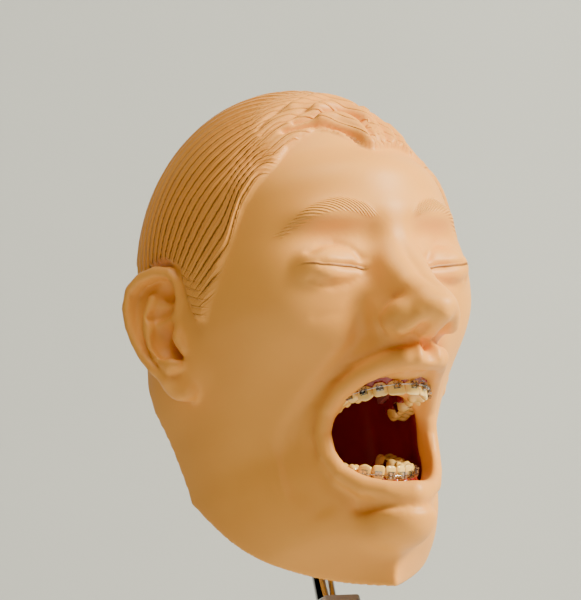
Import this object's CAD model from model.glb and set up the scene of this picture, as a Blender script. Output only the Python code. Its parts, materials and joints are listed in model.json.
"""The looks of a dental patient head: a moulded rubber mask on a hard skull, with braced arches.

Soft forms are sculpted as distance fields in the head's own frame, in millimetres: x to the head's
left, f forward and z up from a point between the ear canals. They are then meshed, detailed and
set into the leaning row frame in metres. Hard parts keep their CAD meshes and get new materials.
"""

import json
import math

import bpy
import numpy as np
import openvdb
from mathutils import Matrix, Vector


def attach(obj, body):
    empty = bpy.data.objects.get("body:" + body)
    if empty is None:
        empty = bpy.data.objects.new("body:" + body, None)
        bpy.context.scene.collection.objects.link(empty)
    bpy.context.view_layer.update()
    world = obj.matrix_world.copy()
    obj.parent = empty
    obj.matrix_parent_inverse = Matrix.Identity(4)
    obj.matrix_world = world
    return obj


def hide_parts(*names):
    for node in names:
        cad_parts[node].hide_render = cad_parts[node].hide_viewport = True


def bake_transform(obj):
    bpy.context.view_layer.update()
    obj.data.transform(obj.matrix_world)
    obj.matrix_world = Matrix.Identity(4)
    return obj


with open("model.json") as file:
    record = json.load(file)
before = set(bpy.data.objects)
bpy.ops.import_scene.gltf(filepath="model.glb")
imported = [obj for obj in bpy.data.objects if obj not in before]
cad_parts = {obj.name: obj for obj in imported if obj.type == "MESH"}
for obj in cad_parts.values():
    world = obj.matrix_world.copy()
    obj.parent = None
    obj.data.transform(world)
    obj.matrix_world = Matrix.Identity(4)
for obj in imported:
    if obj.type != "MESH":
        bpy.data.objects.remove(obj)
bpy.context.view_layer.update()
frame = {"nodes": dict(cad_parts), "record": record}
SLOTS = {part["node"]: part["material_slot"] for part in frame["record"]["subparts"]}

# ---- frames (millimetres and degrees, as in the CAD part) ----

LEAN = math.radians(20.0)
EAR_HEIGHT = 160.0
EAR_AHEAD = 31.0
PIVOT_HEIGHT = 38.0
JAW_OPEN = math.radians(28.0)
HINGE_F, HINGE_Z = -5.0, -34.0


def head_to_row(points):
    """Head frame (x, f, z) in millimetres to row frame (x, y, z) in metres."""
    p = np.asarray(points, float).reshape(-1, 3)
    y = -p[:, 1] - EAR_AHEAD
    up = p[:, 2] + EAR_HEIGHT
    c, s = math.cos(LEAN), math.sin(LEAN)
    return np.stack([p[:, 0], y * c + up * s, up * c - y * s + PIVOT_HEIGHT], 1) / 1000.0


def jaw_to_head(points):
    """Opens the jaw: points given with the teeth closed, turned about the jaw hinge."""
    p = np.array(points, float).reshape(-1, 3)
    f, z = p[:, 1] - HINGE_F, p[:, 2] - HINGE_Z
    c, s = math.cos(JAW_OPEN), math.sin(JAW_OPEN)
    p[:, 1] = HINGE_F + f * c + z * s
    p[:, 2] = HINGE_Z + z * c - f * s
    return p


def spot(x, f, z):
    """One head-frame point as a row-frame tuple."""
    return tuple(head_to_row([(x, f, z)])[0])


# ---- numbers on arrays ----


def smooth_min(a, b, soft):
    blend = np.maximum(soft - np.abs(a - b), 0.0) / soft
    return np.minimum(a, b) - blend * blend * soft * 0.25


def smooth_max(a, b, soft):
    return -smooth_min(-a, -b, soft)


def ramp(low, high, value):
    """0 below low, 1 above high, and smooth between."""
    t = np.clip((value - low) / (high - low), 0.0, 1.0)
    return t * t * (3.0 - 2.0 * t)


def smooth_table(keys, values, at):
    """Values between keys, eased with a monotone-like cubic."""
    keys = np.asarray(keys, float)
    values = np.asarray(values, float)
    slopes = np.gradient(values, keys)
    i = np.clip(np.searchsorted(keys, at) - 1, 0, len(keys) - 2)
    gap = keys[i + 1] - keys[i]
    t = np.clip((at - keys[i]) / gap, 0.0, 1.0)
    a = values[i] * (2 * t**3 - 3 * t**2 + 1) + values[i + 1] * (3 * t**2 - 2 * t**3)
    return a + gap * (slopes[i] * (t**3 - 2 * t**2 + t) + slopes[i + 1] * (t**3 - t**2))


def ellipsoid(p, radii):
    """Distance, roughly, of points given from an ellipsoid's centre along its axes."""
    near = np.sqrt(sum((a / r) ** 2 for a, r in zip(p, radii)))
    slope = np.sqrt(sum((a / r**2) ** 2 for a, r in zip(p, radii)))
    return near * (near - 1.0) / np.maximum(slope, 1e-6)


def oval(x, y, half_x, half_y, power):
    """1 on the edge of an oval or rounded rectangle, less inside it and more outside."""
    return ((np.abs(x) / half_x) ** power + (np.abs(y) / half_y) ** power) ** (1 / power)


def wave_noise(p, scale, seed):
    """Smooth pseudo-noise between -1 and 1 from a few crossed sine waves."""
    rng = np.random.default_rng(seed)
    total = np.zeros(len(p))
    for _ in range(6):
        direction = rng.normal(size=3)
        direction /= np.linalg.norm(direction)
        total += np.sin(p @ direction / scale * rng.uniform(0.7, 1.5) + rng.uniform(0, 6.28))
    return total / 3.0


# ---- clay: a distance field on a box of grid points ----


class Clay:
    """A field of distances, negative inside. Only the half with x > 0 is stored."""

    def __init__(self, low, high, step):
        self.step = step
        starts = (step / 2, *low[1:])
        self.axes = [np.arange(a, b, step, dtype=np.float32) for a, b in zip(starts, high)]
        self.field = np.full([len(a) for a in self.axes], 99.0, np.float32)

    def window(self, low, high):
        """Slices and coordinates of the grid points in a box."""
        cut = [slice(np.searchsorted(a, lo), np.searchsorted(a, hi))
               for a, lo, hi in zip(self.axes, low, high)]
        x, f, z = (a[c] for a, c in zip(self.axes, cut))
        return tuple(cut), (x[:, None, None], f[None, :, None], z[None, None, :])

    def around(self, points, margin):
        points = np.asarray(points, float).reshape(-1, 3)
        return self.window(points.min(0) - margin, points.max(0) + margin)

    def everywhere(self):
        """Coordinates of all the grid points."""
        x, f, z = self.axes
        return x[:, None, None], f[None, :, None], z[None, None, :]

    def combine(self, cut, distance, soft, carve):
        """Adds a shape to part of the field, or carves it out, with a soft edge."""
        way = smooth_max if carve else smooth_min
        if carve:
            distance = -distance
        self.field[cut] = way(self.field[cut], distance.astype(np.float32), soft)

    def ball(self, centre, radii, soft=4.0, carve=False, turn=None):
        """Adds or carves an ellipsoid; turn is a 3 by 3 matrix whose rows are its axes."""
        reach = max(radii) + soft
        cut, xyz = self.around([centre], reach)
        p = [a - c for a, c in zip(xyz, centre)]
        if turn is not None:
            p = [sum(float(row[i]) * p[i] for i in range(3)) for row in turn]
        self.combine(cut, ellipsoid(p, radii), soft, carve)

    def limb(self, points, soft=3.0, carve=False):
        """Adds or carves a rounded chain through (x, f, z, radius) points."""
        points = np.asarray(points, float)
        reach = points[:, 3].max() + soft
        cut, xyz = self.around(points[:, :3], reach)
        self.combine(cut, chain_distance(xyz, points), soft, carve)

    def swell(self, centre, radii, amount):
        """Pushes the surface out (or in, for a negative amount) in a soft ellipsoidal patch."""
        cut, xyz = self.around([centre], 2.6 * max(radii))
        spread = sum(((a - c) / r) ** 2 for a, c, r in zip(xyz, centre, radii))
        self.field[cut] -= (amount * np.exp(-spread)).astype(np.float32)

    def stroke(self, points, width, amount, side=False, reach=12.0):
        """Pushes the surface out or in along a line seen from the front (or from the side)."""
        points = np.asarray(points, float)
        flat = points.copy()
        flat[:, 0 if side else 1] = 0.0
        cut, xyz = self.around(points, 3.0 * width + reach)
        xyz = list(xyz)
        xyz[0 if side else 1] = np.float32(0.0)
        chain = np.column_stack([flat, np.zeros(len(flat))])
        line = chain_distance(xyz, chain)
        near = 1.0
        if not side:
            order = np.argsort(points[:, 2])
            depth = np.interp(xyz[2].ravel(), points[order, 2], points[order, 1])
            ahead = self.axes[1][cut[1]][None, :, None] - depth[None, None, :]
            near = np.exp(-((ahead / (2 * reach)) ** 2))
        self.field[cut] -= (amount * np.exp(-((line / width) ** 2)) * near).astype(np.float32)

    def sample(self, field, points):
        """A grid's values at points, blended from the eight nearest grid points."""
        p = np.asarray(points, float).copy()
        p[:, 0] = np.abs(p[:, 0])
        at = [np.clip((p[:, i] - a[0]) / self.step, 0, len(a) - 1.001)
              for i, a in enumerate(self.axes)]
        low = [v.astype(int) for v in at]
        part = [v - i for v, i in zip(at, low)]
        total = np.zeros(len(p))
        for corner in np.ndindex(2, 2, 2):
            weight = np.prod([q if c else 1.0 - q for q, c in zip(part, corner)], axis=0)
            total += weight * field[tuple(i + c for i, c in zip(low, corner))]
        return total

    def mesh(self):
        """Points and quads of the zero surface, both halves, facing outward."""
        field = np.concatenate([self.field[::-1], self.field], axis=0)
        first = [-self.axes[0][-1], self.axes[1][0], self.axes[2][0]]
        limit = 3.0 * self.step
        grid = openvdb.FloatGrid(limit)
        grid.copyFromArray(np.ascontiguousarray(np.clip(field, -limit, limit)), tolerance=0.0)
        points, triangles, quads = grid.convertToPolygons(isovalue=0.0, adaptivity=0.0)
        points = points * self.step + np.array(first)
        return points, quads


def chain_distance(xyz, points):
    """Distance to a chain of round cones through (x, f, z, radius) points."""
    best = None
    for a, b in zip(points[:-1], points[1:]):
        axis = b[:3] - a[:3]
        length = max(float(axis @ axis), 1e-9)
        p = [c - float(s) for c, s in zip(xyz, a[:3])]
        t = np.clip(sum(q * float(d) for q, d in zip(p, axis)) / length, 0.0, 1.0)
        gap = np.sqrt(sum((q - t * float(d)) ** 2 for q, d in zip(p, axis)))
        gap = gap - (float(a[3]) + t * float(b[3] - a[3]))
        best = gap if best is None else np.minimum(best, gap)
    return best


# ---- meshes ----


def new_object(name, points, faces):
    """A smooth-shaded mesh object from row-frame points in metres."""
    mesh = bpy.data.meshes.new(name)
    points = np.asarray(points, np.float32)
    faces = np.asarray(faces, np.int32)
    mesh.vertices.add(len(points))
    mesh.vertices.foreach_set("co", points.ravel())
    mesh.loops.add(faces.size)
    mesh.loops.foreach_set("vertex_index", faces.ravel())
    mesh.polygons.add(len(faces))
    mesh.polygons.foreach_set("loop_start", np.arange(0, faces.size, faces.shape[1], dtype=np.int32))
    mesh.update(calc_edges=True)
    mesh.validate()
    mesh.polygons.foreach_set("use_smooth", np.full(len(mesh.polygons), True))
    piece = bpy.data.objects.new(name, mesh)
    bpy.context.scene.collection.objects.link(piece)
    return piece


def point_normals(points, quads):
    a, b, c, d = (points[quads[:, i]] for i in range(4))
    face = np.cross(c - a, d - b)
    normals = np.zeros_like(points)
    for i in range(4):
        np.add.at(normals, quads[:, i], face)
    return normals / np.maximum(np.linalg.norm(normals, axis=1, keepdims=True), 1e-12)


def outward(points, quads):
    """Quads wound so that the enclosed volume is positive."""
    a, b, c, d = (points[quads[:, i]] for i in range(4))
    volume = np.einsum("ij,ij->", a, np.cross(b, c)) + np.einsum("ij,ij->", a, np.cross(c, d))
    return quads if volume > 0 else quads[:, ::-1]


def store(piece, name, values):
    """A number on every vertex, for the material to read."""
    attribute = piece.data.attributes.new(name, "FLOAT", "POINT")
    attribute.data.foreach_set("value", np.asarray(values, np.float32))


# ---- the rubber mask ----

MASK_STEP = 1.2
# The head below the cranium, before the features: height, half width at its widest, front, back,
# how blunt the front is (1 is a straight-sided wedge, 2 an ellipse) and where it is widest.
SKIN_SECTIONS = [
    (-142, 46, 27, -62, 1.05, -36),
    (-125, 48, 29, -64, 1.1, -36),
    (-114, 50, 34, -66, 1.35, -36),
    (-103, 52, 42, -68, 1.62, -36),
    (-92, 54.5, 44, -70, 1.75, -36),
    (-77, 56.5, 42, -76, 1.9, -36),
    (-62, 58, 40, -80, 2, -36),
    (-49, 60.5, 46, -84, 2.1, -36),
    (-37, 63, 57, -86, 2.1, -36),
    (-25, 66, 66, -86, 2.15, -34),
    (-14, 68, 71.5, -84, 2.3, -30),
    (-3, 69.5, 75.5, -80, 2.45, -22),
    (10, 70, 79.5, -74, 2.37, -12),
    (30, 68, 83, -70, 2, -4),
    (55, 62, 82, -68, 2, -2),
    (75, 58, 76, -66, 2, 0),
]
# The mask's lower edge: forward place and height.
NECK_EDGE = [(-60, -60), (-41, -68), (-30, -81), (-20, -94), (-8, -107.5),
             (6, -120), (29, -131), (60, -141)]
CRANIUM = (0, -3.5, 30.5)
CRANIUM_RADII = (69, 79.5, 83.5)
FOREHEAD_TAPER = 0.0008
SECTIONS_TOP = 62.0
BACK_BLUNT = 2.2
# The rubber's thickness under the plain skin, and the least that is left under a feature.
RUBBER = 3.6
RUBBER_LEAST = 2.4
# The opening at the back for the cover: its front, its top and its half width.
REAR_FRONT, REAR_TOP, REAR_HALF = -40.6, 49, 66.0
# The mouth opening: middle, heights and powers above and below it, half width, back end.
MOUTH_MIDDLE = -67.5
MOUTH_UP, MOUTH_DOWN, MOUTH_HALF = 21, 22, 25.0
MOUTH_BACK = 18.0
LIPS = [
    (0, 84.5, -42, 5.6), (8, 81.5, -40.2, 5.6), (14, 72.5, -39.5, 5), (19.5, 60, -41, 4.4),
    (24, 48, -44.5, 4.5), (27.2, 38, -51, 4.3), (28.4, 34, -60, 4.3), (27.4, 34, -70, 4.6),
    (24, 37, -79, 5), (17.5, 43, -87, 5.4), (9.5, 49.5, -92, 5.8), (0, 54.5, -94.5, 6.2),
]
SLIT = [(16.5, 77, 4.3), (23, 76, 5.9), (30, 74, 6.2), (38, 70, 7.3), (44, 65.5, 9.2)]
BROW = [(8, 84, 27), (15, 83, 31), (27, 79, 34.6), (38, 73, 32), (47, 65, 26.5)]
# The hairline: angle round the head from straight ahead (positive to the head's left), height.
FRONT_HAIRLINE = [(-31.7, 70.5), (-25, 74.7), (-17.4, 78.1), (-10.8, 75.9), (-5.1, 71.8), (-1.5, 66.9),
                  (2, 62.9), (10.4, 65.7), (20.6, 68), (30, 68)]
SIDE_HAIRLINE = [(38, 61), (47, 51.5), (53, 43.5), (59, 31), (65, 20), (70, 11),
                 (79, 0), (83, 3), (86, 30), (94, 37), (106, 39), (120, 34),
                 (180, 30)]
ANGLE_CENTRE = 4.0
HAIR_THICK = 2.3
# Locks and fine strands in a unit of strand_line, and swept strands in a millimetre (times pi).
LOCKS, STRANDS = 22, 66.0
SWEEP_PITCH = 0.92
# Height of the combed locks and of the swept strands.
LOCK_RELIEF, SWEPT_RELIEF = 1.7, 0.5
# The combed strands give way to the quiff's between these distances from a gathering point.
QUIFF_EDGE = (17, 27)
HEAD_REACH = 85.0
BROW_HEIGHT = 0.5
# Share of the hidden inner surface's faces that the mesh does without.
HIDDEN_THINNED = 0.82
# Where the strands gather: above the brow and behind the ear.
QUIFF_ROOT = (8, 60, 84)
EAR_ROOT = (73, -12, 2)
# The line that the quiff's strands run beside.
SWEEP = [(-58, 56), (-44, 70), (-31.8, 78.8), (-24.3, 79.7), (-17, 79.5), (-10.2, 77.7),
         (-4.4, 73.6), (-1.1, 68.1), (1.5, 58), (3, 40)]
# The swept quiff: width, height and path, as angle and height, of its locks and grooves.
QUIFF = [
    (3, 2.6, [(-13, 82.6), (-4, 82.5), (0.7, 77.9), (2.4, 69.3), (2.2, 64.6)]),
    (3.4, 3, [(-12, 89.5), (-2, 90.5), (6, 88.5), (9, 80), (6, 69.4)]),
    (3, 1.8, [(-24, 93), (-10, 97), (4, 98), (13, 93), (14.5, 85)]),
    (2.6, 1.8, [(12, 86), (13, 78), (10, 69)]),
    (2.6, 1.8, [(20, 86), (21.5, 79), (18, 70)]),
    (2.6, 1.6, [(30, 82), (30, 76), (26, 70)]),
    (1.5, -3.6, [(-31.8, 78.8), (-24.3, 79.7), (-17, 79.5), (-10.2, 77.7), (-4.4, 73.6), (-1.1, 68.1)]),
    (1.4, -3.2, [(-26, 83), (-17.8, 84), (-8.2, 86.2), (-0.7, 85.8), (4.9, 82.5), (5.4, 76.7), (3.8, 68)]),
    (1.1, -1.7, [(-42, 79.4), (-27, 86), (-12, 91), (1.5, 93.5), (8.6, 91)]),
    (1.1, -1.5, [(-44, 84), (-36, 90), (-22, 96), (-6, 100), (8, 99)]),
    (0.9, -1.8, [(8.5, 78), (7.5, 71), (5.2, 64.7)]),
    (0.9, -1.6, [(12.5, 79), (10.6, 72), (8, 66)]),
    (1.1, -2, [(13.3, 90), (16.3, 83), (15.6, 76), (13.5, 69)]),
    (1.1, -1.8, [(20, 88), (26, 84), (26, 78), (22, 70)]),
    (1.1, -1.8, [(33, 82), (36, 78), (34, 72)]),
]


def skin_field(xyz):
    """Distance to the plain head: stacked rounded sections joined to an ellipsoidal cranium."""
    x, f, z = xyz
    table = np.array(SKIN_SECTIONS)
    levels = z.ravel()
    half, front, back, blunt, widest = (smooth_table(table[:, 0], table[:, i], levels)[None, None, :]
                                        for i in (1, 2, 3, 4, 5))
    along = f - widest
    reach = np.where(along > 0, front - widest, widest - back)
    power = np.where(along > 0, blunt, BACK_BLUNT)
    gauge = oval(x, along, half, reach, power)
    radial = np.sqrt(x * x + along * along) * (1.0 - 1.0 / np.maximum(gauge, 1e-3))
    radial = smooth_max(radial, z - SECTIONS_TOP + 0.0 * radial, 16)
    p = [a - c for a, c in zip(xyz, CRANIUM)]
    p[0] = p[0] * (1.0 + FOREHEAD_TAPER * np.maximum(f, 0))
    return smooth_min(radial, ellipsoid(p, CRANIUM_RADII), 8)


def sculpt_jaw(clay):
    clay.ball((0, 40, -31), (21, 47, 17), soft=8)
    clay.ball((0, 40, -101.5), (16.2, 18.5, 14.8), soft=7)
    clay.swell((16, 33, -109), (8, 9, 7), 1.6)


def sculpt_nose(clay):
    clay.limb([(7, 68, 8, 7.5), (9.5, 73, -10, 8.5), (10.5, 77, -19, 8)], soft=9)
    clay.limb([(4, 74, 16, 8), (4, 80.5, 2, 8), (3.5, 88, -10, 7.8), (2.5, 96, -18, 7.8)], soft=9)
    clay.ball((0, 99, -23.5), (10.5, 11, 7), soft=6)
    clay.ball((11.6, 87.5, -23), (7, 10, 7), soft=6)
    clay.limb([(0, 105.5, -27.5, 2.6), (0, 90, -31.5, 3.8)], soft=4)
    clay.limb([(8.8, 100, -26, 2.4), (13.2, 90, -29, 2.8)], soft=3.5)
    clay.ball((6.4, 95.5, -31.8), (2.5, 5.5, 3), soft=1.2, carve=True)
    clay.stroke([(14, 92, -13), (19, 86, -14), (21.5, 80, -19.5), (20.5, 79, -27)], 2, -0.9, side=True)


def sculpt_eyes(clay):
    clay.swell((14, 82, 17), (8, 9, 9), -3.2)
    clay.swell((30, 76, 21), (17, 10, 6), -6.6)
    clay.swell((34, 75, 31), (20, 11, 6.5), 3.8)
    clay.swell((0, 86, 30), (14, 9, 8), 1.8)
    clay.ball((31.5, 60.2, 8.5), (15.2, 16.2, 12.8), soft=2.5)
    clay.swell((17, 79, 5), (4.5, 6, 7), -1.8)
    clay.stroke([(18, 77, 9.5), (22, 76.5, 15), (27, 75, 17.8), (34, 73, 17.2), (40, 68.5, 14.4)],
                1.8, -1.6)
    clay.stroke(SLIT[:-1], 1.2, -1.4)
    clay.stroke([(x, f, z + 2.4) for x, f, z in SLIT[:-2]], 1.3, 0.5)
    clay.stroke([(17.5, 77, 1.8), (20.5, 76, 0.2), (25, 75, -1.4), (31, 72.5, -2.2), (36, 70, -0.8),
                 (41, 67, 2)], 1.6, -1.2)
    clay.stroke([(19, 77, -9), (28, 72, -14), (38, 67, -14)], 2.4, -0.5)
    clay.swell((31, 74, 1.4), (11, 9, 2.2), 0.9)


def sculpt_cheeks(clay):
    clay.swell((46, 52, -14), (20, 20, 16), 3.2)
    clay.swell((30, 66, -26), (11, 16, 12), 2.6)
    clay.swell((50, 34, -50), (12, 22, 20), -2.2)
    clay.stroke([(21, 84, -26), (27, 72, -33), (33, 58, -41), (38.5, 44, -52), (40.5, 38, -66),
                 (38, 38, -80), (31, 44, -92)], 3.6, -3)
    clay.stroke([(27, 80, -24), (34, 66, -32), (41, 50, -44), (46, 40, -60), (45, 38, -78)], 5.5, 0.9)


def sculpt_lips(clay):
    clay.limb(LIPS, soft=5)
    clay.stroke([(0, 91, -35), (0, 89, -42)], 2.6, -2.4)
    clay.stroke([(5, 91, -36), (5.6, 88, -43)], 1.7, 1)
    clay.stroke([(6, 88, -35), (14, 80, -33.5), (22, 68, -34.5), (29, 56, -38.5), (34, 45, -47),
                 (36, 40, -60)], 1.8, -1)
    clay.stroke([(0, 58, -102), (9, 55, -100.5), (18, 46, -96)], 2.6, -2)


def mouth_gauge(x, z):
    """Distance-like measure of the mouth opening seen from the front."""
    power = np.where(z > MOUTH_MIDDLE, 3, 2.1)
    high = np.where(z > MOUTH_MIDDLE, MOUTH_UP, MOUTH_DOWN)
    return 20.0 * (oval(x, z - MOUTH_MIDDLE, MOUTH_HALF, high, power) - 1)


EAR_CENTRE = np.array([73, -7, 2.5])
EAR_NARROW = 0.88
EAR_TURN = math.radians(30)
EAR_TIP = math.radians(8)


def ear_point(back, up, out):
    """A point of the ear: back along its flat, up, and out of its face, in head millimetres."""
    along = np.array([math.sin(EAR_TURN), -math.cos(EAR_TURN), 0])
    face = np.array([math.cos(EAR_TURN), math.sin(EAR_TURN), 0])
    tipped = along * math.cos(EAR_TIP) + np.array([0, 0, -1]) * math.sin(EAR_TIP)
    rise = np.array([0, 0, 1]) * math.cos(EAR_TIP) + along * math.sin(EAR_TIP)
    return EAR_CENTRE + tipped * back * EAR_NARROW + rise * up + face * out


def ear_chain(rows):
    return [(*ear_point(back, up, out), radius) for back, up, out, radius in rows]


def sculpt_ear(clay):
    along = ear_point(1, 0, 0) - EAR_CENTRE
    rise = ear_point(0, 1, 0) - EAR_CENTRE
    face = ear_point(0, 0, 1) - EAR_CENTRE
    turn = (along, rise, face)
    clay.ball(ear_point(-8, -2, -8), (12, 22, 8.5), soft=8, turn=turn)
    clay.ball(ear_point(3, 8, -2.5), (16, 22, 3.2), soft=3, turn=turn)
    clay.ball(ear_point(5, -17, -4.2), (8, 12.5, 3.6), soft=4, turn=turn)
    helix = [(-3, 4, -0.5, 2), (-9, 6, 1, 2.6), (-14, 12, 2, 3.1), (-15, 19, 2.4, 3.3),
             (-12, 25.5, 2.4, 3.3), (-5, 29, 2.4, 3.3), (4, 29.6, 2.2, 3.3), (11.5, 27, 2, 3.3),
             (16.6, 20.5, 1.8, 3.1), (18.6, 12, 1.6, 2.9), (18.5, 4, 1.2, 2.8), (17, -4, 0.8, 2.8),
             (13.5, -12, 0.2, 3), (9, -19, -2, 3.2)]
    clay.limb(ear_chain(helix), soft=1.6)
    clay.limb(ear_chain([(9, -19, -2.2, 3.2), (5.5, -25, -5, 3.6), (2.5, -27, -5.6, 3.8)]), soft=4)
    trough = [(-4, 24.6, 3.6, 2.2), (4, 25.2, 3.8, 2.4), (10.2, 22.8, 3.8, 2.4), (13.6, 16.5, 3.6, 2.2),
              (15, 9, 3.4, 1.9), (14.8, 2, 3.2, 1.7), (13.2, -5, 3, 1.6), (10.8, -10.5, 2.8, 1.4)]
    clay.limb(ear_chain(trough), soft=1.6, carve=True)
    fold = [(2, 19, 1, 2.2), (6.5, 13.5, 1.8, 2.6), (9.4, 6, 2.2, 2.8), (9.6, -1, 2.2, 2.8),
            (8, -8, 2, 2.8), (4.5, -14.5, 1.6, 3)]
    clay.limb(ear_chain(fold), soft=2)
    clay.ball(ear_point(-7, 18.5, 3), (4.4, 6.4, 6), soft=2, carve=True, turn=turn)
    clay.ball(ear_point(-0.5, 10.5, 3.2), (6.2, 3.4, 5.4), soft=1.8, carve=True, turn=turn)
    clay.ball(ear_point(1.5, -3, 2.4), (6.6, 9, 7), soft=2, carve=True, turn=turn)
    clay.ball(ear_point(-1.5, -6, -3), (4.2, 7.5, 7), soft=2, carve=True, turn=turn)
    clay.limb(ear_chain([(-8, 1, 0.4, 2.8), (-6, -4, 2.6, 3), (-5.4, -9, 1, 2.6)]), soft=2.2)
    clay.limb(ear_chain([(3, -14, 2, 2.6), (0, -15.5, 1.4, 2.2)]), soft=2)
    clay.limb(ear_chain([(-2.6, -13, 3.5, 1.5), (-2, -10, 3, 1.6)]), soft=1.5, carve=True)


def head_angle(p):
    """Degrees round the head from straight ahead, positive to the head's left."""
    return np.degrees(np.arctan2(p[:, 0], p[:, 1] - ANGLE_CENTRE))


def hair_share(p):
    """1 inside the hair, 0 on skin, from the hairline's height round the head."""
    angle = head_angle(p)
    side = np.array(SIDE_HAIRLINE)
    right = [(-a, z) for a, z in side[::-1]]
    keys = np.array(right + FRONT_HAIRLINE + SIDE_HAIRLINE)
    line = np.interp(angle, keys[:, 0], keys[:, 1])
    fade = 0.9 + 5.0 * ramp(32, 44, np.abs(angle)) * ramp(84, 76, np.abs(angle))
    return ramp(-0.9, fade, p[:, 2] - line)


def strand_line(p):
    """A number that stays the same along a strand: circles through the two gathering points."""
    centre = np.array(CRANIUM)

    def direction(points):
        q = np.asarray(points, float).reshape(-1, 3) - centre
        return q / np.linalg.norm(q, axis=1, keepdims=True)

    front, behind = direction(QUIFF_ROOT)[0], direction(EAR_ROOT)[0]
    middle = front + behind
    middle /= np.linalg.norm(middle)
    across = np.cross(middle, front)
    across /= np.linalg.norm(across)
    up = np.cross(across, middle)

    def flat(v):
        return (v @ across + 1j * (v @ up)) / (1.0 + v @ middle)

    q = direction(np.column_stack([np.abs(p[:, 0]), p[:, 1], p[:, 2]]))
    w, a, b = flat(q), flat(front), flat(behind)
    nearest = np.minimum(np.abs(w - a), np.abs(w - b)) * HEAD_REACH
    return np.angle(-(w - a) / (w - b)), nearest


def on_scalp(rows):
    """Scalp points from angles round the head and heights."""
    rows = np.asarray(rows, float)
    angle, height = np.radians(rows[:, 0]), rows[:, 1]
    wide, deep, tall = CRANIUM_RADII
    ahead = ANGLE_CENTRE - CRANIUM[1]
    square = (np.sin(angle) / wide) ** 2 + (np.cos(angle) / deep) ** 2
    slope = ahead * np.cos(angle) / deep**2
    rest = (ahead / deep) ** 2 + ((height - CRANIUM[2]) / tall) ** 2 - 1.0
    reach = (-slope + np.sqrt(np.maximum(slope**2 - square * rest, 0.0))) / square
    return np.column_stack([reach * np.sin(angle), ANGLE_CENTRE + reach * np.cos(angle), height])


def smooth_path(rows, pieces=8):
    """A scalp path with points added between its corners, so that it bends evenly."""
    rows = np.asarray(rows, float)
    count = len(rows)
    at = np.linspace(0.0, count - 1.0, (count - 1) * pieces + 1)
    angle, height = (smooth_table(np.arange(count), rows[:, k], at) for k in range(2))
    return on_scalp(np.column_stack([angle, height]))


def path_distance(p, path):
    """Distance from each point to the nearest stretch of a path."""
    return chain_distance(p.T, np.column_stack([path, np.zeros(len(path))]))


def hair_relief(p):
    """Height of the locks in millimetres, strand number, combed share and swept distance."""
    line, nearest = strand_line(p)
    angle = np.abs(head_angle(p))
    side = np.array([row for row in SIDE_HAIRLINE if row[0] < 80.0])
    edge_line = strand_line(on_scalp(side))[0]
    above = p[:, 2] - np.interp(angle, side[:, 0], side[:, 1])
    beside = np.exp(-((above / 22.0) ** 2)) * ramp(34, 46, angle) * ramp(66, 56, angle)
    line = line - beside * (np.interp(angle, side[:, 0], edge_line) - edge_line.mean())
    line = line + 0.022 * wave_noise(p, 20.0, 3)
    shown = ramp(*QUIFF_EDGE, nearest)
    sweep = path_distance(p, smooth_path(SWEEP)) + 0.35 * wave_noise(p, 30.0, 5)
    relief = shown * LOCK_RELIEF * (np.abs(np.sin(line * LOCKS)) ** 0.6 - 0.8)
    relief += (1.0 - shown) * SWEPT_RELIEF * (np.abs(np.sin(sweep * SWEEP_PITCH)) - 0.6)
    for width, amount, rows in QUIFF:
        path = smooth_path(rows)
        centre = path.mean(0)
        near = np.linalg.norm(p - centre, axis=1) < 60.0
        gap = path_distance(p[near], path)
        relief[near] += amount * np.exp(-((gap / width) ** 2))
    return relief, line, shown, sweep


def brow_strokes(p):
    """How much each point is in the brow, and a number that stays the same along a stroke."""
    line = np.array(BROW)
    xs = np.abs(p[:, 0])
    above = p[:, 2] - smooth_table(line[:, 0], line[:, 2], np.clip(xs, 8, 47))
    half = np.interp(xs, [8, 14, 24, 40, 50], [0.8, 3.0, 3.8, 3.2, 0.8])
    inside = ramp(1.1, 0.5, np.abs(above) / half) * ramp(8, 15, xs) * ramp(51, 45, xs)
    inside = inside * (p[:, 1] > 40)
    turned = [0.0, -13.8, -19.8, -24.5, -26.3, -26.6]
    fan = smooth_table([8, 20, 27, 36, 44, 52], turned, np.clip(xs, 8, 52))
    return inside, p[:, 2] + fan


def eyelid_line(p):
    """Height above the line where the lids meet, and 1 along it, fading at its ends."""
    line = np.array(SLIT)
    xs = np.abs(p[:, 0])
    above = p[:, 2] - smooth_table(line[:, 0], line[:, 2], np.clip(xs, 16.5, 44.0))
    return above, ramp(14.5, 18.0, xs) * ramp(46.5, 41.0, xs) * (p[:, 1] > 40)


def hollow(clay, lining, outer):
    """The mask's shell: hollow, with the mouth, the rear opening and the neck edge cut."""
    x, f, z = clay.everywhere()
    inner = np.maximum(lining + RUBBER, outer + RUBBER_LEAST)
    shell = smooth_max(outer, -inner, 0.8)
    plug = np.maximum(mouth_gauge(x, z) + 0 * f, MOUTH_BACK - f + 0 * x)
    shell = smooth_max(shell, -plug, 2.0)
    edge = np.array(NECK_EDGE)
    below = smooth_table(edge[:, 0], edge[:, 1], f.ravel())[None, :, None] - z
    shell = smooth_max(shell, below * 0.75 + 0 * x, 1.4)
    opening = np.maximum(f - REAR_FRONT + 0 * x, z - REAR_TOP + 0 * x)
    opening = smooth_max(opening, np.abs(x) - REAR_HALF + 0 * f, 8.0)
    return smooth_max(shell, -opening, 1.4).astype(np.float32)


def thin_hidden(piece, outside):
    """Fewer faces on the inner surface, which nobody sees close to."""
    inside = piece.vertex_groups.new(name="inside")
    hidden = np.nonzero(outside < 0.5)[0]
    inside.add(hidden.tolist(), 1.0, "REPLACE")
    thin = piece.modifiers.new("thin", "DECIMATE")
    thin.ratio = 1.0 - HIDDEN_THINNED * len(hidden) / len(outside)
    thin.vertex_group = "inside"
    apply_modifiers(piece)


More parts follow.
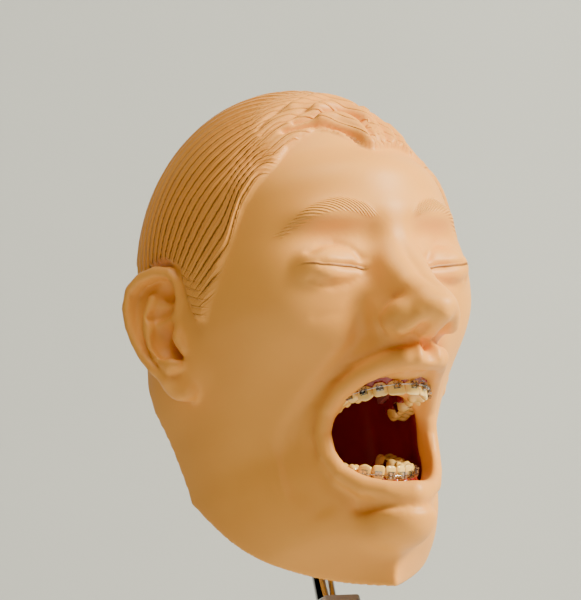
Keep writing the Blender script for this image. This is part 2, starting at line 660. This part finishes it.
def make_mask():
    clay = Clay((0, -48, -142), (100, 116, 118), MASK_STEP)
    clay.field[...] = skin_field(clay.everywhere())
    sculpt_jaw(clay)
    lining = clay.field.copy()
    for sculpt in (sculpt_cheeks, sculpt_nose, sculpt_eyes, sculpt_lips, sculpt_ear):
        sculpt(clay)
    outer = clay.field.copy()
    clay.field = hollow(clay, lining, outer)
    points, quads = clay.mesh()
    quads = outward(points, quads)
    normals = point_normals(points, quads)

    outside = ramp(1.6, 0.8, np.abs(clay.sample(outer, points)))
    on_head = ramp(4.0, 2.0, clay.sample(lining, points))
    hair = hair_share(points) * outside * on_head
    relief, strand, combed, sweep = hair_relief(points)
    brow, stroke = brow_strokes(points)
    above_lids, lids = eyelid_line(points)
    lift = hair * (HAIR_THICK + relief) + outside * BROW_HEIGHT * brow
    points = points + normals * lift[:, None]

    mask = new_object("face_mask_rubber", head_to_row(points), quads)
    for name, values in (("hair", hair), ("strand", strand), ("combed", hair * combed),
                         ("sweep", sweep), ("brow", brow * outside), ("stroke", stroke),
                         ("lids", lids * outside), ("above_lids", above_lids)):
        store(mask, name, values)
    thin_hidden(mask, outside)
    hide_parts("face_mask")
    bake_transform(mask)
    coat(mask, "mask_rubber")


def apply_modifiers(piece):
    """Replaces a piece's mesh by what its modifiers make of it."""
    depsgraph = bpy.context.evaluated_depsgraph_get()
    made = bpy.data.meshes.new_from_object(piece.evaluated_get(depsgraph))
    piece.modifiers.clear()
    old, piece.data = piece.data, made
    bpy.data.meshes.remove(old)


# ---- the braced arches ----

TOOTH_STEP = 0.32
GUM_STEP = 0.5
# Each tooth from the midline back: width, depth at the neck, crown height, kind.
UPPER_TEETH = [(8.6, 6.8, 8.6, "incisors"), (6.8, 6.2, 8.1, "incisors"), (7.6, 7.8, 8.6, "canines"),
               (7.0, 8.8, 7.2, "premolars"), (6.8, 8.8, 7.0, "premolars"), (10.4, 10.8, 7.2, "molars"),
               (9.4, 10.4, 6.8, "molars")]
LOWER_TEETH = [(5.4, 5.8, 8.4, "incisors"), (5.9, 6.0, 8.4, "incisors"), (6.8, 7.4, 8.3, "canines"),
               (7.0, 7.8, 7.4, "premolars"), (7.1, 8.2, 7.2, "premolars"), (11.0, 10.2, 7.0, "molars"),
               (10.4, 9.8, 6.8, "molars")]
BANDED = 5
# Room beside a crown, and beside a crown with a band.
CROWN_GAP, BAND_GAP = 0.25, 1.0
STEEPNESS = 0.118
# The gum and the hard ridge in it: outward and inward of the tooth faces, and depth.
GUM_OUTWARD, GUM_INWARD, GUM_DEEP = 3.1, 14.4, 12.0
RIDGE_OUTWARD, RIDGE_INWARD, RIDGE_START = 1.65, 13.05, 2.95
CUSP_SPREAD = 0.26
CUSPS = {"premolars": [(0.0, 0.27, 0.0), (0.0, -0.28, 0.5)],
         "molars": [(0.24, 0.27, 0.0), (0.24, -0.27, 0.3)]}


class Arch:
    """The line of the tooth faces in plan (x, f), a catenary, with its teeth along it."""

    def __init__(self, word, body, teeth, up, front, gumline, half, depth):
        self.word, self.body, self.teeth, self.up, self.gumline = word, body, teeth, up, gumline
        scale = (math.cosh(STEEPNESS * half) - 1.0) / depth
        x = np.linspace(0.0, 40.0, 1601)
        self.line = np.column_stack([x, front - (np.cosh(STEEPNESS * x) - 1.0) / scale])
        lean = STEEPNESS * np.sinh(STEEPNESS * x) / scale
        self.out = np.column_stack([lean, np.ones_like(x)]) / np.hypot(lean, 1.0)[:, None]
        steps = np.linalg.norm(np.diff(self.line, axis=0), axis=1)
        self.length = np.concatenate([[0.0], np.cumsum(steps)])
        self.middles, gone = [], 0.0
        for i, tooth in enumerate(teeth):
            room = tooth[0] + (BAND_GAP if i == BANDED else CROWN_GAP)
            self.middles.append(gone + room / 2)
            gone += room
        self.reach = gone
        self.end = float(np.interp(gone, self.length, x))

    def place(self, points, index, side):
        """Tooth points (across, outward, towards the root) to head points."""
        at = int(np.searchsorted(self.length, self.middles[index]))
        point, out = self.line[at], self.out[at]
        along = np.array([out[1], -out[0]])
        ahead = points[:, 1] - self.teeth[index][1] / 2
        plan = point + along * points[:, :1] + out * ahead[:, None]
        placed = np.column_stack([plan[:, 0] * side, plan[:, 1], self.gumline + self.up * points[:, 2]])
        return placed if self.up > 0 else jaw_to_head(placed)

    def plan_field(self, x, f):
        """Distance outward from the tooth faces, and distance along the arch, of plan points."""
        thin = slice(None, None, 10)
        line, out, length = self.line[thin], self.out[thin], self.length[thin]
        gap = (x[..., None] - line[:, 0]) ** 2 + (f[..., None] - line[:, 1]) ** 2
        nearest = gap.argmin(-1)
        offset = (x - line[nearest, 0]) * out[nearest, 0] + (f - line[nearest, 1]) * out[nearest, 1]
        return offset, length[nearest]


def biting_edge(x, y, width, depth, height, kind):
    """Height of the biting surface below the gum edge, as a negative number."""
    if kind == "incisors":
        return -height + 0.7 * (2 * x / width) ** 4 + 0 * y
    if kind == "canines":
        return -height + 0.46 * (np.sqrt(x * x + 0.5) - 0.7) + 0 * y
    drop = 9.0
    for across, outward, low in CUSPS[kind]:
        gap = ((x / width - across) / CUSP_SPREAD) ** 2 + ((y / depth - outward) / CUSP_SPREAD) ** 2
        drop = smooth_min(drop + 0 * gap, low + 1.2 * gap / (1.0 + 0.45 * gap), 0.4)
    return -height + drop


def tooth_shape(width, depth, height, kind):
    """A crown: points and faces, across, outward and towards the root."""
    clay = Clay((0, -depth / 2 - 1.5, -height - 1.2), (width / 2 + 1.2, depth / 2 + 1.8, 4.2), TOOTH_STEP)
    x, y, z = clay.everywhere()
    share = np.clip(-z / height, 0.0, 1.0)
    if kind in ("incisors", "canines"):
        half = width / 2 * (0.76 + 0.24 * np.sin(np.pi / 2 * np.minimum(share * 1.35, 1.0)))
        face = depth / 2 + 0.4 * np.sin(np.pi * share) - 0.55 * share**2
        back = -depth / 2 + (depth - 1.7) * share**0.9
        power = 2.7
    else:
        half = width / 2 * (0.85 + 0.15 * np.sin(np.pi * np.minimum(share * 1.1, 1.0)))
        face = depth / 2 + 0.4 * np.sin(np.pi * share) - 1.0 * share**2
        back = -depth / 2 - 0.3 * np.sin(np.pi * share) + 1.0 * share**2
        power = 3.0
    middle, reach = (face + back) / 2, (face - back) / 2
    gauge = oval(x, y - middle, half, reach, power)
    radial = np.hypot(x, y - middle) * (1.0 - 1.0 / np.maximum(gauge, 1e-3))
    field = smooth_max(radial, biting_edge(x, y, width, depth, height, kind) - z, 1.3)
    clay.field = smooth_max(field, z - 3.0, 0.8).astype(np.float32)
    points, quads = clay.mesh()
    return points, outward(points, quads)


def join(shapes):
    """One mesh from several (points, faces)."""
    points, faces, start = [], [], 0
    for shape_points, shape_faces in shapes:
        points.append(shape_points)
        faces.append(np.asarray(shape_faces) + start)
        start += len(shape_points)
    return np.concatenate(points), np.concatenate(faces)


def make_teeth(arch):
    made = {}
    for index, tooth in enumerate(arch.teeth):
        points, quads = tooth_shape(*tooth)
        for side in (1, -1):
            placed = arch.place(points, index, side)
            made.setdefault(tooth[3], []).append((placed, outward(placed, quads)))
    for kind, shapes in made.items():
        points, quads = join(shapes)
        piece = new_object(f"{arch.word}_{kind}_crowns", head_to_row(points), quads)
        finish_piece(piece, f"{arch.word}_{kind}", "tooth_resin", arch.body)


def finish_piece(piece, node, slot_name, body):
    """Puts a rigid sculpted piece in the place of its CAD node."""
    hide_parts(node)
    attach(piece, body)
    coat(piece, slot_name)


def make_gum(arch):
    """The soft gum: scalloped round the crowns and hollow over the hard ridge."""
    low, high = sorted((arch.gumline - arch.up * 3.5, arch.gumline + arch.up * (GUM_DEEP + 1.5)))
    clay = Clay((0, 8, low), (38, 72, high), GUM_STEP)
    x, f, z = clay.everywhere()
    plan = (x.shape[0], f.shape[1])
    offset, along = arch.plan_field(np.broadcast_to(x[..., 0], plan), np.broadcast_to(f[..., 0], plan))
    offset, along = offset[..., None], along[..., None]
    deep = arch.up * (z - arch.gumline)
    phase = np.full_like(along, 0.0)
    neck = np.full_like(along, arch.teeth[-1][1])
    for middle, tooth in zip(arch.middles, arch.teeth):
        place = (along - middle) / (tooth[0] / 2 + 0.15)
        mine = np.abs(place) <= 1.0
        phase[mine] = np.abs(place[mine])
        neck[mine] = tooth[1]
    margin = -2.0 - 1.4 * phase**2.4
    bulge = 0.45 * np.cos(np.pi * phase) * ramp(1.0, 5.0, deep)
    outer = 0.9 + (GUM_OUTWARD - 1.1) * ramp(0.0, 5.0, deep - margin) + bulge
    room = GUM_INWARD * (0.72 + 0.28 * np.minimum(x / arch.end, 1.0))
    inner = neck + 0.3 + (room - neck - 0.3) * ramp(-0.5, 9.0, deep)
    field = smooth_max(offset - outer, -offset - inner, 1.0)
    field = smooth_max(field, margin - deep, 1.2)
    field = smooth_max(field, deep - GUM_DEEP, 0.6)
    field = smooth_max(field, along - arch.reach - 1.4 + 0 * field, 1.5)
    ridge = np.maximum(offset - RIDGE_OUTWARD, -offset - RIDGE_INWARD * room / GUM_INWARD)
    ridge = np.maximum(np.maximum(ridge, RIDGE_START - deep), along - arch.reach - 0.05)
    clay.field = np.maximum(field, -ridge).astype(np.float32)
    points, quads = clay.mesh()
    if arch.up < 0:
        points = jaw_to_head(points)
    piece = new_object(f"{arch.word}_gum_soft", head_to_row(points), outward(points, quads))
    finish_piece(piece, f"{arch.word}_gum", "gum_rubber", arch.body)


# ---- the lining of the mouth ----

LINER_PLAN = [(28.5, 35.5), (30.0, 30.0), (32.0, 24.0), (34.6, 12.0), (35.2, 0.0), (31.0, -10.5),
              (18.0, -15.4), (0.0, -16.2)]
LINER_TOP = -22.2
LINER_BOTTOM = -78.0
LINER_THICK = 1.5
LINER_COLUMNS, LINER_ROWS = 160, 60
# How much narrower the curtain is at its lower edge, and the height and pitch of its folds.
LINER_DRAWN = 0.24
FOLD_HEIGHT, FOLD_PITCH = 0.8, 0.20


def liner_plan():
    """Plan points of the curtain, the way inward at each, and how far along it each is."""
    plan = np.array(LINER_PLAN)
    plan = np.concatenate([plan, (plan * [-1, 1])[-2::-1]])
    gone = np.concatenate([[0.0], np.cumsum(np.linalg.norm(np.diff(plan, axis=0), axis=1))])
    at = np.linspace(0.0, gone[-1], LINER_COLUMNS)
    x, f = smooth_table(gone, plan[:, 0], at), smooth_table(gone, plan[:, 1], at)
    tangent = np.column_stack([np.gradient(x), np.gradient(f)])
    tangent /= np.linalg.norm(tangent, axis=1, keepdims=True)
    inward = np.column_stack([tangent[:, 1], -tangent[:, 0]])
    centre = np.array([0.0, 12.0])
    facing = np.sign(((centre - np.column_stack([x, f])) * inward).sum(1, keepdims=True))
    return x, f, inward * facing, at


def liner_sheets():
    """The curtain's two sides, one thickness apart, as rows of points from the top down."""
    x, f, inward, at = liner_plan()
    c, s = math.cos(JAW_OPEN), math.sin(JAW_OPEN)
    low = HINGE_Z + ((LINER_BOTTOM - HINGE_Z) - (f - HINGE_F) * s) / c
    down = np.linspace(0.0, 1.0, LINER_ROWS)
    z = LINER_TOP + (low[None, :] - LINER_TOP) * down[:, None]
    drawn_in = 1.0 - LINER_DRAWN * down[:, None] ** 3
    fold = FOLD_HEIGHT * np.sin(at * FOLD_PITCH)[None, :] * np.sin(np.pi * down)[:, None] ** 0.5
    sheets = []
    for shift in (0.0, LINER_THICK):
        push = fold + 1.0 + shift
        wide = (x + inward[:, 0] * push) * drawn_in
        deep = HINGE_F + (f + inward[:, 1] * push - HINGE_F) * drawn_in
        sheets.append(np.stack([wide, deep, z], -1).reshape(-1, 3))
    return np.concatenate(sheets)


def make_liner():
    """A folded red curtain round the cheeks and the back of the mouth."""
    points = liner_sheets()
    size = LINER_ROWS * LINER_COLUMNS
    index = np.arange(size).reshape(LINER_ROWS, LINER_COLUMNS)
    corners = [index[:-1, :-1], index[1:, :-1], index[1:, 1:], index[:-1, 1:]]
    front = np.stack(corners, -1).reshape(-1, 4)
    back = front[:, ::-1] + size
    rim = np.concatenate([index[0], index[1:, -1], index[-1, -2::-1], index[-2::-1, 0]])
    other = rim + size
    sides = np.stack([rim[:-1], rim[1:], other[1:], other[:-1]], -1)
    faces = outward(points, np.concatenate([front, back, sides]))
    liner = new_object("oral_liner_soft", head_to_row(points), faces)
    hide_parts("oral_liner")
    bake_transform(liner)
    coat(liner, "red_rubber")


# ---- materials ----


class Paint:
    """A short way to write a node material."""

    def __init__(self, name):
        self.material = bpy.data.materials.new(name)
        self.material.use_nodes = True
        self.tree = self.material.node_tree
        self.shader = self.tree.nodes["Principled BSDF"]

    def node(self, kind, **settings):
        made = self.tree.nodes.new(kind)
        for key, value in settings.items():
            if key in made.inputs.keys():
                made.inputs[key].default_value = value
            else:
                setattr(made, key, value)
        return made

    def link(self, source, target):
        self.tree.links.new(source, target)

    def set(self, **values):
        for key, value in values.items():
            self.shader.inputs[key.replace("_", " ")].default_value = value

    def noise(self, scale, detail=4.0):
        place = self.node("ShaderNodeTexCoord")
        made = self.node("ShaderNodeTexNoise", Scale=scale, Detail=detail)
        self.link(place.outputs["Object"], made.inputs["Vector"])
        return made.outputs["Fac"]

    def ramp(self, source, stops):
        made = self.node("ShaderNodeValToRGB")
        elements = made.color_ramp.elements
        while len(elements) < len(stops):
            elements.new(0.5)
        for element, (at, colour) in zip(elements, stops):
            element.position = at
            element.color = (*colour, 1.0)
        self.link(source, made.inputs["Fac"])
        return made.outputs["Color"]

    def math(self, operation, a, b=None):
        made = self.node("ShaderNodeMath", operation=operation)
        for i, value in enumerate((a, b)):
            if value is None:
                continue
            if isinstance(value, (int, float)):
                made.inputs[i].default_value = value
            else:
                self.link(value, made.inputs[i])
        return made.outputs[0]

    def bump(self, height, strength, distance, under=None):
        made = self.node("ShaderNodeBump", Strength=strength, Distance=distance)
        self.link(height, made.inputs["Height"])
        if under is not None:
            self.link(under, made.inputs["Normal"])
        return made.outputs["Normal"]

    def mix(self, share, first, second):
        made = self.node("ShaderNodeMix", data_type="RGBA")
        self.link(share, made.inputs[0])
        for socket, value in ((6, first), (7, second)):
            if isinstance(value, tuple):
                made.inputs[socket].default_value = (*value, 1.0)
            else:
                self.link(value, made.inputs[socket])
        return made.outputs[2]

    def band(self, source, full, none):
        """1 at full, 0 at none, and smooth between."""
        made = self.node("ShaderNodeMapRange", interpolation_type="SMOOTHSTEP")
        made.inputs["From Min"].default_value = full
        made.inputs["From Max"].default_value = none
        made.inputs["To Min"].default_value = 1.0
        made.inputs["To Max"].default_value = 0.0
        self.link(source, made.inputs["Value"])
        return made.outputs["Result"]

    def attribute(self, name):
        return self.node("ShaderNodeAttribute", attribute_name=name).outputs["Fac"]

    def wave(self, name, pitch):
        """Rises from 0 to 1 and back as a stored number times pitch grows by pi."""
        turned = self.math("MULTIPLY", self.attribute(name), pitch)
        return self.math("ABSOLUTE", self.math("SINE", turned))

    def rough(self, scale, low, high):
        """Roughness that varies a little from place to place."""
        spread = self.node("ShaderNodeMapRange")
        spread.inputs["To Min"].default_value = low
        spread.inputs["To Max"].default_value = high
        self.link(self.noise(scale), spread.inputs["Value"])
        self.link(spread.outputs["Result"], self.shader.inputs["Roughness"])


def varied(name, dark, light, rough, scale, bump_scale=400.0, bump=0.15, distance=0.0003, **values):
    """A plain material whose colour, roughness and surface all vary a little."""
    paint = Paint(name)
    colour = paint.ramp(paint.noise(scale), [(0.3, dark), (0.7, light)])
    paint.link(colour, paint.shader.inputs["Base Color"])
    paint.rough(scale * 2.3, *rough)
    surface = paint.bump(paint.noise(bump_scale, 3), bump, distance)
    paint.link(surface, paint.shader.inputs["Normal"])
    paint.set(**values)
    return paint.material


SKIN_LOOK = [(0.30, (0.80, 0.335, 0.058)), (0.70, (0.86, 0.38, 0.072))]
HAIR_LOOK = [(0.30, (0.76, 0.305, 0.052)), (0.70, (0.82, 0.35, 0.064))]
GROOVE_COLOUR = (0.42, 0.14, 0.018)
SLIT_COLOUR = (0.16, 0.045, 0.006)
BROW_STROKES = 4.2


def mask_material():
    """Orange rubber: combed strands, brow strokes and the lid line come from stored numbers."""
    paint = Paint("mask_rubber_look")
    hair, combed = paint.attribute("hair"), paint.attribute("combed")
    skin_colour = paint.ramp(paint.noise(14, 5), SKIN_LOOK)
    hair_colour = paint.ramp(paint.noise(20, 4), HAIR_LOOK)
    groove = paint.math("MULTIPLY", paint.band(paint.wave("strand", LOCKS), 0.0, 0.36), combed)
    swept = paint.math("MULTIPLY", paint.math("SUBTRACT", hair, combed), 0.55)
    swept = paint.math("MULTIPLY", paint.band(paint.wave("sweep", SWEEP_PITCH), 0.0, 0.5), swept)
    groove = paint.math("ADD", groove, swept)
    from_slit = paint.math("ABSOLUTE", paint.attribute("above_lids"))
    slit = paint.math("MULTIPLY", paint.band(from_slit, 0.0, 0.9), paint.attribute("lids"))
    brow = paint.math("SINE", paint.math("MULTIPLY", paint.attribute("stroke"), BROW_STROKES))
    brow = paint.math("MULTIPLY", brow, paint.attribute("brow"))

    colour = paint.mix(hair, skin_colour, hair_colour)
    colour = paint.mix(paint.math("MULTIPLY", groove, 0.45), colour, GROOVE_COLOUR)
    colour = paint.mix(paint.math("MULTIPLY", slit, 0.85), colour, SLIT_COLOUR)
    paint.link(colour, paint.shader.inputs["Base Color"])

    strand = paint.math("MULTIPLY", paint.wave("strand", STRANDS), combed)
    normal = paint.bump(paint.noise(900, 3), 0.10, 0.0002)
    normal = paint.bump(paint.noise(120, 4), 0.08, 0.0005, normal)
    normal = paint.bump(strand, 0.5, 0.0006, normal)
    normal = paint.bump(paint.math("MULTIPLY", groove, -1.0), 0.8, 0.0010, normal)
    normal = paint.bump(brow, 0.8, 0.0004, normal)
    normal = paint.bump(paint.math("MULTIPLY", slit, -1.0), 0.8, 0.0008, normal)
    paint.link(normal, paint.shader.inputs["Normal"])

    paint.rough(40, 0.42, 0.54)
    paint.set(Subsurface_Weight=0.08, Subsurface_Radius=(0.006, 0.0025, 0.001), Subsurface_Scale=0.4,
              Specular_IOR_Level=0.3)
    return paint.material


# Each slot's look: dark and light colour, roughness range, size of the variation and the rest.
LOOKS = {
    "enamel": ((0.50, 0.51, 0.51), (0.60, 0.61, 0.60), (0.28, 0.42), 30, dict(Coat_Weight=0.3)),
    "black_rubber": ((0.012, 0.012, 0.013), (0.03, 0.03, 0.03), (0.6, 0.8), 60, {}),
    "black_plastic": ((0.008, 0.008, 0.009), (0.02, 0.02, 0.022), (0.3, 0.45), 50, {}),
    "steel": ((0.42, 0.42, 0.43), (0.62, 0.62, 0.62), (0.18, 0.34), 90, dict(Metallic=1.0)),
    "cast_aluminium": ((0.56, 0.57, 0.58), (0.70, 0.70, 0.71), (0.34, 0.5), 60,
                       dict(bump_scale=900.0, bump=0.3, Metallic=1.0)),
    "chrome": ((0.72, 0.72, 0.74), (0.82, 0.82, 0.84), (0.03, 0.09), 25,
               dict(bump=0.02, Metallic=1.0)),
    "grey_plastic": ((0.33, 0.31, 0.36), (0.42, 0.40, 0.45), (0.35, 0.5), 20, {}),
    "base_resin": ((0.40, 0.11, 0.10), (0.52, 0.17, 0.15), (0.25, 0.4), 30, {}),
    "gum_rubber": ((0.20, 0.008, 0.010), (0.34, 0.018, 0.020), (0.12, 0.25), 60,
                   dict(bump_scale=600.0, bump=0.2, Coat_Weight=0.5, Subsurface_Weight=0.1,
                        Subsurface_Radius=(0.004, 0.001, 0.001))),
    "tooth_resin": ((0.88, 0.52, 0.12), (0.97, 0.66, 0.22), (0.12, 0.25), 120,
                    dict(bump_scale=500.0, bump=0.08, Coat_Weight=0.4, Subsurface_Weight=0.15,
                         Subsurface_Radius=(0.003, 0.002, 0.001))),
    "bracket_steel": ((0.40, 0.40, 0.40), (0.60, 0.60, 0.60), (0.15, 0.3), 300, dict(Metallic=1.0)),
    "red_rubber": ((0.30, 0.004, 0.006), (0.42, 0.008, 0.008), (0.35, 0.55), 30, {}),
    "brass": ((0.60, 0.40, 0.14), (0.74, 0.52, 0.22), (0.2, 0.35), 80, dict(Metallic=1.0)),
}
MATERIALS = {slot: varied(f"{slot}_look", *look[:4], **look[4]) for slot, look in LOOKS.items()}
MATERIALS["mask_rubber"] = mask_material()


def coat(piece, slot_name):
    """Gives a piece the one material of its slot."""
    piece.data.materials.clear()
    piece.data.materials.append(MATERIALS[slot_name])


make_mask()
for arch in (Arch("upper", "head", UPPER_TEETH, 1, 65.0, -43.0, 29.0, 46.0),
             Arch("lower", "jaw", LOWER_TEETH, -1, 61.5, -58.5, 26.5, 43.5)):
    make_teeth(arch)
    make_gum(arch)
make_liner()
for node, piece in frame["nodes"].items():
    coat(piece, SLOTS[node])


# ---- floor, light and camera ----


VIEW_TURN = math.radians(-32.0)
FLOOR_LEVEL = -0.125
FLOOR_HALF = 4.0
COVE_STEPS = 12


def make_stage():
    """A pale floor that curves up into a backdrop."""
    back, rise, radius = 1.3, 2.6, 0.5
    profile = [(-FLOOR_HALF, 0.0), (back - radius, 0.0)]
    for i in range(1, COVE_STEPS + 1):
        a = math.pi / 2 * i / COVE_STEPS
        profile.append((back - radius + radius * math.sin(a), radius - radius * math.cos(a)))
    profile.append((back, rise))
    c, s = math.cos(VIEW_TURN), math.sin(VIEW_TURN)
    points, faces = [], []
    for along, up in profile:
        for across in (-FLOOR_HALF, FLOOR_HALF):
            points.append((across * c - along * s, across * s + along * c, FLOOR_LEVEL + up))
    for i in range(len(profile) - 1):
        faces.append((2 * i, 2 * i + 1, 2 * i + 3, 2 * i + 2))
    floor = new_object("floor", points, faces)
    look = varied("floor_look", (0.62, 0.65, 0.67), (0.66, 0.69, 0.71), (0.7, 0.8), 3)
    floor.data.materials.append(look)


def add_light(name, place, aim, size, power, colour):
    """A round soft light at a place, turned to aim at a point."""
    data = bpy.data.lights.new(name, "AREA")
    data.shape = "DISK"
    data.size = size
    data.energy = power
    data.color = colour
    light = bpy.data.objects.new(name, data)
    bpy.context.scene.collection.objects.link(light)
    light.location = place
    light.rotation_euler = (Vector(aim) - Vector(place)).to_track_quat("-Z", "Y").to_euler()


def add_camera():
    """A long lens, level with the head, that looks at a point close to the ear."""
    back = Vector((math.sin(VIEW_TURN), -math.cos(VIEW_TURN), 0.0))
    right = Vector((math.cos(VIEW_TURN), math.sin(VIEW_TURN), 0.0))
    middle = Vector(spot(0, 0, 0)) + right * -0.0107 + Vector((0, 0, 0.0159))
    data = bpy.data.cameras.new("camera")
    data.lens = 312.0
    camera = bpy.data.objects.new("camera", data)
    bpy.context.scene.collection.objects.link(camera)
    camera.location = middle + back * 2.4
    camera.rotation_euler = (-back).to_track_quat("-Z", "Y").to_euler()
    bpy.context.scene.camera = camera


make_stage()
face = spot(0, 50, 0)
add_light("key", (0.85, -1.00, 1.20), face, 0.5, 78.0, (1.0, 0.93, 0.72))
add_light("fill", (-1.0, -1.2, 0.3), face, 1.0, 4.0, (1.0, 0.90, 0.75))
add_light("top", (-0.2, -0.2, 1.5), face, 0.8, 13.0, (1.0, 0.93, 0.75))
add_camera()
